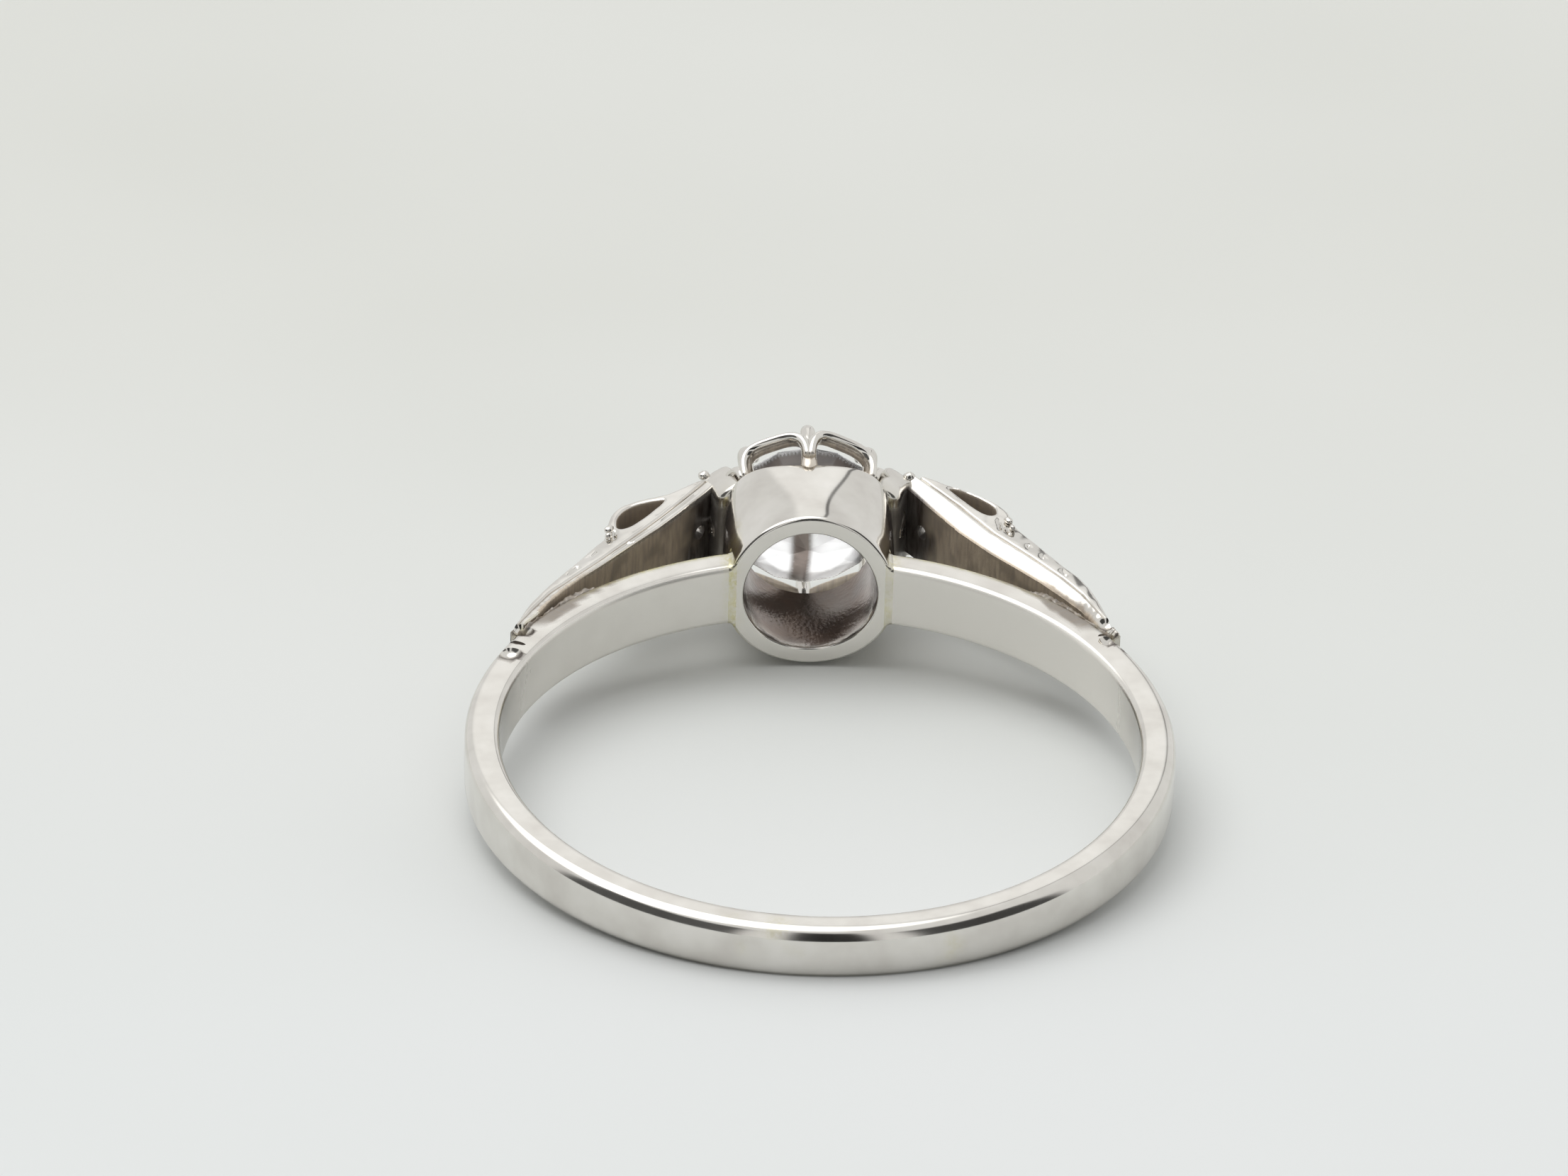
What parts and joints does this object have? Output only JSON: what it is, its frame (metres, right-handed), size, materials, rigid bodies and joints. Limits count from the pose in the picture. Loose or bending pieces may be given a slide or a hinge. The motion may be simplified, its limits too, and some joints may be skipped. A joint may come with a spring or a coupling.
{
  "type": "engagement ring",
  "caption": "Solitaire engagement ring with an open tapered collet, a claw and arch crown, and pierced scroll shoulders that rise from the band to the crown.",
  "frame": {"origin": "centre of the finger bore, half way across the width of the band", "axes": "+Z along the finger, +Y from the finger to the head, +X to the right-hand shoulder"},
  "size_m": [0.0188, 0.0228, 0.0054],
  "materials": {
    "white_gold": "polished white gold, with fine wear scratches",
    "solder": "pale yellow gold solder, satin",
    "diamond": "polished facets"
  },
  "bodies": {
    "root": {"shank": "white_gold", "collet": "white_gold", "centre_stone": "diamond", "claw_1": "white_gold", "claw_2": "white_gold", "claw_3": "white_gold", "claw_4": "white_gold", "claw_5": "white_gold", "claw_6": "white_gold", "claw_7": "white_gold", "claw_8": "white_gold", "gallery_arch_1": "white_gold", "gallery_arch_2": "white_gold", "gallery_arch_3": "white_gold", "gallery_arch_4": "white_gold", "gallery_arch_5": "white_gold", "gallery_arch_6": "white_gold", "gallery_arch_7": "white_gold", "gallery_arch_8": "white_gold", "shoulder_arm_right": "white_gold", "shoulder_arm_left": "white_gold", "scroll_plate_right": "white_gold", "scroll_plate_left": "white_gold", "side_stone_right": "diamond", "side_stone_left": "diamond", "rail_solder_right": "solder", "rail_solder_left": "solder", "crown_solder_right": "solder", "crown_solder_left": "solder", "shoulder_solder_right": "solder", "shoulder_solder_left": "solder"}
  },
  "joints": []
}
